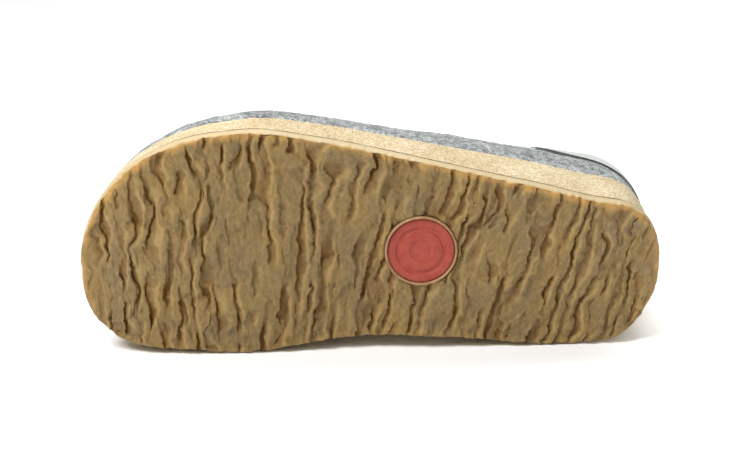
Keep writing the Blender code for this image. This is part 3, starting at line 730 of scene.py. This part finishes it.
# painted light: the side wall paler, as lit from above
walled = mixed_colour(nodes, links, stored(nodes, "wall"), amber, from_screen(198, 177, 136))
glue_noise = textured(nodes, links, "ShaderNodeTexNoise", place, 130.0, Detail=2.0)
breaks = ramp(nodes, ((0.36, (0.55, 0.55, 0.55)), (0.56, (1.0, 1.0, 1.0))))
links.new(glue_noise.outputs["Fac"], breaks.inputs["Fac"])
broken = reckoned(nodes, links, "MULTIPLY", stored(nodes, "seam"), breaks.outputs["Color"])
glued = mixed_colour(nodes, links, broken, walled, from_screen(62, 44, 26))
links.new(glued, shader.inputs["Base Color"])
grain = bumped(nodes, links, streaks.outputs["Fac"], 0.00030, 0.55)
grain = bumped(nodes, links, pores.outputs["Fac"], 0.00026, 0.7, grain)
links.new(grain, shader.inputs["Normal"])
shine = ramp(nodes, ((0.3, (0.42, 0.42, 0.42)), (0.7, (0.62, 0.62, 0.62))))
links.new(pores.outputs["Fac"], shine.inputs["Fac"])
links.new(shine.outputs["Color"], shader.inputs["Roughness"])
shader.inputs["Specular IOR Level"].default_value = 0.4
sole.data.materials.clear()
sole.data.materials.append(rubber)
print(rubber.name, "nodes:", len(nodes))

# %% [markdown]
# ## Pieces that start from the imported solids
# Cork, felt, lining and overlay already have their true form in the CAD, only with flat
# facets. Modelling them again would only lose their sizes. So each starts as a copy of its
# solid: the loose triangles are merged, turned back to quads where they pair up, and rounded
# by a Subdivision Surface. Edges that should stay crisp get a crease first.

# %% Copy a solid and round it
SAME_PLACE = 0.000004
SHARP_ANGLE = math.radians(50.0)


def rounded_copy(node, name, levels, crease=0.0):
    """Copy of a CAD node with merged corners, rounded by subdivision."""
    piece = bpy.data.objects.new(name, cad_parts[node].data.copy())
    bpy.context.scene.collection.objects.link(piece)
    piece.data.materials.clear()
    deselect()
    piece.select_set(True)
    bpy.context.view_layer.objects.active = piece
    if piece.data.has_custom_normals:
        bpy.ops.mesh.customdata_custom_splitnormals_clear()
    bpy.ops.object.mode_set(mode="EDIT")
    bpy.ops.mesh.select_mode(type="EDGE")
    bpy.ops.mesh.select_all(action="SELECT")
    bpy.ops.mesh.remove_doubles(threshold=SAME_PLACE)
    bpy.ops.mesh.tris_convert_to_quads(face_threshold=SHARP_ANGLE,
                                       shape_threshold=math.radians(60.0))
    bpy.ops.mesh.select_all(action="DESELECT")
    if crease > 0.0:
        bpy.ops.mesh.edges_select_sharp(sharpness=SHARP_ANGLE)
        bpy.ops.transform.edge_crease(value=crease)
    bpy.ops.object.mode_set(mode="OBJECT")
    rounding = piece.modifiers.new("rounding", "SUBSURF")
    rounding.levels = levels
    rounding.render_levels = levels
    bpy.ops.object.modifier_apply(modifier=rounding.name)
    bpy.ops.object.shade_smooth_by_angle(angle=SHARP_ANGLE)
    print(name, "faces:", len(piece.data.polygons))
    return piece


def outward_normals(piece):
    """Corner normals of a mesh as rows."""
    rows = np.empty(3 * len(piece.data.vertices))
    piece.data.vertices.foreach_get("normal", rows)
    return rows.reshape(-1, 3)


def roughen(piece, layers):
    """Push corners along their normals by noise: size in mm, bump width in mm and seed."""
    places = corners_of(piece)
    normals = outward_normals(piece)
    mm = 1000.0 * places
    push = np.zeros(len(places))
    for size, width, seed in layers:
        x, y, z = (mm / width).T
        push += size * 0.5 * (noise(x + y / 1.7, z, seed) + noise(x, y - z / 1.9, seed + 50))
    place_corners(piece, places + normals * (0.001 * push)[:, None])


# %% [markdown]
# ## Cork footbed
# The footbed is pressed from cork granules and latex. On the cut wall the granules show as a
# fine mosaic of cream and tan with a few dark specks and pits. The Voronoi pattern gives the
# granules: each cell takes its own tone, and a fine relief follows the cells. It fills space,
# not a surface, so the wall and the bed need no unwrapping and show no seam.

# %% Cork block
cork_block = rounded_copy("midsole", "cork_footbed", 3, crease=0.85)
roughen(cork_block, ((0.16, 1.6, 21), (0.10, 5.0, 22)))
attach(cork_block, "root")
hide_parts("midsole")

# %% Cork material
cork, nodes, links, shader = principled("pressed_cork")
place = nodes.new("ShaderNodeTexCoord").outputs["Object"]
granules = textured(nodes, links, "ShaderNodeTexVoronoi", place, 1350.0, Randomness=1.0)
cell_tone = nodes.new("ShaderNodeSeparateColor")
links.new(granules.outputs["Color"], cell_tone.inputs["Color"])
tones = ramp(nodes, ((0.0, from_screen(182, 156, 116)), (0.25, from_screen(204, 184, 145)),
                     (0.60, from_screen(216, 201, 167)), (0.95, from_screen(229, 221, 196))))
links.new(cell_tone.outputs["Red"], tones.inputs["Fac"])
specks = textured(nodes, links, "ShaderNodeTexNoise", place, 900.0, Detail=3.0, Roughness=0.7)
speck_band = ramp(nodes, ((0.60, (0.0, 0.0, 0.0)), (0.68, (1.0, 1.0, 1.0))))
links.new(specks.outputs["Fac"], speck_band.inputs["Fac"])
speck_share = reckoned(nodes, links, "MULTIPLY", speck_band.outputs["Color"], 0.55)
patches = textured(nodes, links, "ShaderNodeTexNoise", place, 45.0, Detail=3.0)
patch_tone = ramp(nodes, ((0.3, from_screen(232, 222, 208)), (0.7, from_screen(255, 255, 255))))
links.new(patches.outputs["Fac"], patch_tone.inputs["Fac"])
corked = mixed_colour(nodes, links, speck_share, tones.outputs["Color"],
                      from_screen(158, 118, 74))
corked = mixed_colour(nodes, links, 0.8, corked, patch_tone.outputs["Color"], "MULTIPLY")
links.new(corked, shader.inputs["Base Color"])
relief = bumped(nodes, links, granules.outputs["Distance"], 0.00025, 0.5)
relief = bumped(nodes, links, specks.outputs["Fac"], 0.00020, 0.4, relief)
links.new(relief, shader.inputs["Normal"])
shader.inputs["Roughness"].default_value = 0.82
shader.inputs["Specular IOR Level"].default_value = 0.25
cork_block.data.materials.append(cork)
print(cork.name, "nodes:", len(nodes))

# %% [markdown]
# ## Felt upper
# The upper is one piece of thick wool felt, steamed over a last. Felt has no weave: fibres of
# light and dark wool lie in all directions, so the grey is heathered, and loose fibres make
# the edge soft. Small dents come from the last and the hand. Hair strands would be true
# fibres, but too many for a part that gets used again. Two noises, each stretched another
# way, tangle like fibres, and sheen stands for the loose ones.

# %% Felt form
felt = rounded_copy("upper", "felt_upper", 3, crease=0.25)
roughen(felt, ((0.22, 1.7, 31), (0.30, 6.0, 32), (0.45, 19.0, 33)))
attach(felt, "root")
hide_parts("upper")

# %% Felt material
def wool(name, dark, middle, light, fibre_scale):
    """Heathered felt from three tones."""
    made, nodes, links, shader = principled(name)
    place = nodes.new("ShaderNodeTexCoord").outputs["Object"]
    one_way = textured(nodes, links, "ShaderNodeTexNoise",
                       stretched(nodes, links, place, (1.0, 0.35, 0.6)), fibre_scale * 2.0,
                       Detail=4.0, Roughness=0.7, Distortion=1.2)
    other_way = textured(nodes, links, "ShaderNodeTexNoise",
                         stretched(nodes, links, place, (0.3, 1.0, 1.0)), fibre_scale * 1.7,
                         Detail=4.0, Roughness=0.7, Distortion=1.5)
    both_ways = reckoned(nodes, links, "ADD", one_way.outputs["Fac"], other_way.outputs["Fac"])
    fibres = reckoned(nodes, links, "MULTIPLY", both_ways, 0.5)
    tones = ramp(nodes, ((0.41, dark), (0.49, middle), (0.58, light)))
    links.new(fibres, tones.inputs["Fac"])
    clouds = textured(nodes, links, "ShaderNodeTexNoise", place, 70.0, Detail=4.0, Roughness=0.65)
    cloud_tone = ramp(nodes, ((0.3, from_screen(214, 214, 216)), (0.7, from_screen(255, 255, 255))))
    links.new(clouds.outputs["Fac"], cloud_tone.inputs["Fac"])
    heathered = mixed_colour(nodes, links, 0.9, tones.outputs["Color"],
                             cloud_tone.outputs["Color"], "MULTIPLY")
    links.new(heathered, shader.inputs["Base Color"])
    links.new(bumped(nodes, links, fibres, 0.0006, 0.9), shader.inputs["Normal"])
    shader.inputs["Roughness"].default_value = 0.95
    shader.inputs["Specular IOR Level"].default_value = 0.15
    shader.inputs["Sheen Weight"].default_value = 0.35
    shader.inputs["Sheen Roughness"].default_value = 0.5
    print(name, "nodes:", len(nodes))
    return made


felt.data.materials.append(wool("grey_wool_felt", from_screen(66, 72, 74),
                                from_screen(130, 136, 135), from_screen(206, 210, 206), 310.0))

# %% [markdown]
# ## Lining on the footbed
# Inside, the foot stands on a thin felt lining that follows the bowl of the cork. A cloth
# simulation could drape it, but the CAD already has its resting form. So it is a rounded copy
# with low bumps, and the felt's own helper makes its material in browner tones.

# %% Lining
lining = rounded_copy("insole", "felt_lining", 2, crease=0.5)
roughen(lining, ((0.12, 1.8, 41), (0.25, 12.0, 42)))
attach(lining, "root")
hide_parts("insole")
lining.data.materials.append(wool("lining_felt", from_screen(104, 101, 96),
                                  from_screen(140, 137, 130), from_screen(172, 169, 160), 360.0))

# %% [markdown]
# ## Pale overlay and its dark edging
# Round the heel a smooth pale overlay covers the felt above a slanting line, and a thin dark
# edging runs along that line. The edging is drawn in along its normals, since it looks thinner
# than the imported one, and toward its front ends the overlay sinks onto the felt. The overlay
# has fine lines along its length. A wave texture would run straight through them, so each
# corner keeps its distance from the edging, and the material draws the lines from that.

# %% Overlay and edging
EDGING_SLIMMER = 0.00042
THIN_UNTIL = 0.795
FULL_FROM = 0.845
THIN_SHARE = 0.35
edging = rounded_copy("counter_piping", "dark_edging", 2)
place_corners(edging, corners_of(edging) - EDGING_SLIMMER * outward_normals(edging))
overlay = rounded_copy("heel_counter", "pale_overlay", 3, crease=0.4)


def surface_tree(piece):
    """Search tree over a mesh's faces."""
    places = [tuple(row) for row in corners_of(piece)]
    faces = [tuple(face.vertices) for face in piece.data.polygons]
    return BVHTree.FromPolygons(places, faces)


felt_tree = surface_tree(felt)
edging_tree = surface_tree(edging)
places = corners_of(overlay)
taper = blend_step(to_shoe(places)[:, 0] / LENGTH, THIN_UNTIL, FULL_FROM)
from_line = np.empty(len(places))
for k, row in enumerate(places):
    point = Vector(row)
    from_line[k] = 1000.0 * edging_tree.find_nearest(point)[3]
    if taper[k] < 1.0:
        near = felt_tree.find_nearest(point)[0]
        places[k] = near + (point - near) * (THIN_SHARE + (1.0 - THIN_SHARE) * taper[k])
place_corners(overlay, places)
keep(overlay, "from_line", from_line)
for piece, node, slot_name in ((overlay, "heel_counter", "pale_felt"),
                               (edging, "counter_piping", "piping")):
    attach(piece, "root")
    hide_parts(node)
print("overlay width in mm:", round(float(from_line.max()), 1))

# %% Overlay and edging materials
LINE_PITCH = 1.1
pale, nodes, links, shader = principled("pale_overlay_cloth")
place = nodes.new("ShaderNodeTexCoord").outputs["Object"]
wander = textured(nodes, links, "ShaderNodeTexNoise", place, 90.0, Detail=2.0)
distance = reckoned(nodes, links, "MULTIPLY_ADD", wander.outputs["Fac"], 0.5,
                    stored(nodes, "from_line"))
turns = reckoned(nodes, links, "MULTIPLY", distance, 2.0 * math.pi / LINE_PITCH)
wave = reckoned(nodes, links, "SINE", turns)
fuzz = textured(nodes, links, "ShaderNodeTexNoise", place, 700.0, Detail=4.0, Roughness=0.7)
weave = reckoned(nodes, links, "MULTIPLY_ADD", wave, 0.22, fuzz.outputs["Fac"])
tones = ramp(nodes, ((0.25, from_screen(168, 174, 166)), (0.5, from_screen(194, 199, 191)),
                     (0.8, from_screen(208, 212, 205))))
links.new(weave, tones.inputs["Fac"])
links.new(tones.outputs["Color"], shader.inputs["Base Color"])
links.new(bumped(nodes, links, weave, 0.0003, 0.6), shader.inputs["Normal"])
shader.inputs["Roughness"].default_value = 0.8
shader.inputs["Sheen Weight"].default_value = 0.2
overlay.data.materials.append(pale)
print(pale.name, "nodes:", len(nodes))

dark_edge, nodes, links, shader = principled("dark_edging_yarn")
place = nodes.new("ShaderNodeTexCoord").outputs["Object"]
yarn = textured(nodes, links, "ShaderNodeTexNoise", place, 1100.0, Detail=3.0)
tones = ramp(nodes, ((0.35, from_screen(48, 54, 60)), (0.65, from_screen(88, 94, 100))))
links.new(yarn.outputs["Fac"], tones.inputs["Fac"])
links.new(tones.outputs["Color"], shader.inputs["Base Color"])
links.new(bumped(nodes, links, yarn.outputs["Fac"], 0.0002, 0.7), shader.inputs["Normal"])
shader.inputs["Roughness"].default_value = 0.75
edging.data.materials.append(dark_edge)
print(dark_edge.name, "nodes:", len(nodes))

# %% [markdown]
# ## Round badge under the arch
# A red disc with a plain ring relief sits in a pocket of the sole, in a thin tan ring. A
# Boolean cuts the pocket, which keeps its border round although the bark runs across it. The
# disc is a cylinder whose lower lid is inset again and again, each ring moved up or down. The
# tan ring is a small closed profile, spun round the disc's axis, so that it stays even.

# %% Pocket in the sole
BADGE_RADIUS = 0.0153
RING_WIDTH = 0.0014
CLEARANCE = 0.0003
CUTTER_HEIGHT = 0.0080
POCKET_DEPTH = 0.0033
badge_middle = Vector((BADGE_MIDDLE.x, BADGE_MIDDLE.y, badge_face))
ring_outside = BADGE_RADIUS + 2.0 * CLEARANCE + RING_WIDTH
cutter_middle = badge_middle - Vector((0.0, 0.0, 0.5 * CUTTER_HEIGHT - POCKET_DEPTH))
deselect()
bpy.ops.mesh.primitive_cylinder_add(vertices=128, radius=ring_outside, depth=CUTTER_HEIGHT,
                                    location=cutter_middle)
cutter = bpy.context.active_object
bpy.ops.object.transform_apply(location=True, rotation=True, scale=True)
place_corners(cutter, to_world(corners_of(cutter)))
pocket = sole.modifiers.new("pocket", "BOOLEAN")
pocket.operation = "DIFFERENCE"
pocket.solver = "EXACT"
pocket.object = cutter
deselect()
sole.select_set(True)
bpy.context.view_layer.objects.active = sole
bpy.ops.object.modifier_apply(modifier=pocket.name)
bpy.data.objects.remove(cutter, do_unlink=True)
print("sole faces with its pocket:", len(sole.data.polygons))

# %% Disc
DISC_THICKNESS = 0.0022
DISC_SINK = 0.0019
EDGE_WIDTH = 0.00012
# each ring of the relief: inset in mm, then move in mm (toward the wearer is positive)
RELIEF = ((0.35, -0.10), (2.9, 0.0), (0.6, 0.55), (1.2, 0.0),
          (0.6, -0.55), (4.0, 0.0), (0.9, 0.55), (3.0, 0.05))
deselect()
bpy.ops.mesh.primitive_cylinder_add(vertices=96, radius=BADGE_RADIUS, depth=DISC_THICKNESS,
                                    location=badge_middle + Vector((0.0, 0.0, DISC_SINK)))
disc = bpy.context.active_object
disc.name = "red_badge"
bpy.ops.object.transform_apply(location=True, rotation=True, scale=True)
bpy.ops.object.mode_set(mode="EDIT")
bpy.ops.mesh.select_mode(type="FACE")
bpy.ops.mesh.select_all(action="DESELECT")
bpy.ops.object.mode_set(mode="OBJECT")
for face in disc.data.polygons:
    face.select = face.normal.z < -0.9
bpy.ops.object.mode_set(mode="EDIT")
for inward, move in RELIEF:
    bpy.ops.mesh.inset(thickness=0.001 * inward, depth=0.0)
    bpy.ops.transform.translate(value=(0.0, 0.0, 0.001 * move))
bpy.ops.object.mode_set(mode="OBJECT")
place_corners(disc, to_world(corners_of(disc)))
softened = disc.modifiers.new("soft_edges", "BEVEL")
softened.width = EDGE_WIDTH
softened.segments = 2
softened.limit_method = "ANGLE"
bpy.ops.object.modifier_apply(modifier=softened.name)
bpy.ops.object.shade_smooth_by_angle(angle=math.radians(35.0))
print("disc faces:", len(disc.data.polygons))

# %% Tan ring
PROFILE_CORNERS = 16
SIDE_GAP = 0.00008
RING_SINK = 0.0007
RING_ABOVE = 0.0016
RING_BELOW = 0.0009
deselect()
bpy.ops.mesh.primitive_circle_add(vertices=PROFILE_CORNERS, radius=1.0)
tan_ring = bpy.context.active_object
tan_ring.name = "badge_tan_ring"
bpy.ops.object.transform_apply(location=True, rotation=True, scale=True)
round_profile = corners_of(tan_ring)
ring_middle = badge_middle.x + BADGE_RADIUS + CLEARANCE + 0.5 * RING_WIDTH
wide = 0.5 * RING_WIDTH - SIDE_GAP
deep = np.where(round_profile[:, 1] > 0.0, RING_ABOVE, RING_BELOW)
profile = np.stack([ring_middle + wide * round_profile[:, 0],
                    np.full(PROFILE_CORNERS, badge_middle.y),
                    badge_middle.z + RING_SINK + deep * round_profile[:, 1]], axis=1)
place_corners(tan_ring, profile)
bpy.ops.object.mode_set(mode="EDIT")
bpy.ops.mesh.select_all(action="SELECT")
bpy.ops.mesh.spin(steps=96, angle=2.0 * math.pi, center=badge_middle, axis=(0.0, 0.0, 1.0))
bpy.ops.mesh.select_all(action="SELECT")
bpy.ops.mesh.remove_doubles(threshold=SAME_PLACE)
bpy.ops.mesh.normals_make_consistent(inside=False)
bpy.ops.object.mode_set(mode="OBJECT")
place_corners(tan_ring, to_world(corners_of(tan_ring)))
bpy.ops.object.shade_smooth_by_angle(angle=math.radians(60.0))
print("ring faces:", len(tan_ring.data.polygons))

# %% Badge materials
def moulded(name, low, high):
    """Satin moulded rubber with a faint mottle."""
    made, nodes, links, shader = principled(name)
    place = nodes.new("ShaderNodeTexCoord").outputs["Object"]
    mottle = textured(nodes, links, "ShaderNodeTexNoise", place, 260.0, Detail=4.0, Roughness=0.6)
    tones = ramp(nodes, ((0.35, low), (0.65, high)))
    links.new(mottle.outputs["Fac"], tones.inputs["Fac"])
    links.new(tones.outputs["Color"], shader.inputs["Base Color"])
    skin = textured(nodes, links, "ShaderNodeTexNoise", place, 1600.0, Detail=2.0)
    links.new(bumped(nodes, links, skin.outputs["Fac"], 0.00006, 0.5), shader.inputs["Normal"])
    shader.inputs["Roughness"].default_value = 0.5
    shader.inputs["Specular IOR Level"].default_value = 0.4
    print(name, "nodes:", len(nodes))
    return made


disc.data.materials.clear()
disc.data.materials.append(moulded("badge_red_rubber", from_screen(160, 60, 46),
                                   from_screen(176, 74, 58)))
tan_ring.data.materials.append(moulded("badge_tan_rubber", from_screen(156, 116, 78),
                                       from_screen(178, 138, 98)))
for piece, node, slot_name in ((disc, "badge_disc", "badge_red"),
                               (tan_ring, "badge_ring", "badge_tan")):
    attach(piece, "root")
    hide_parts(node)
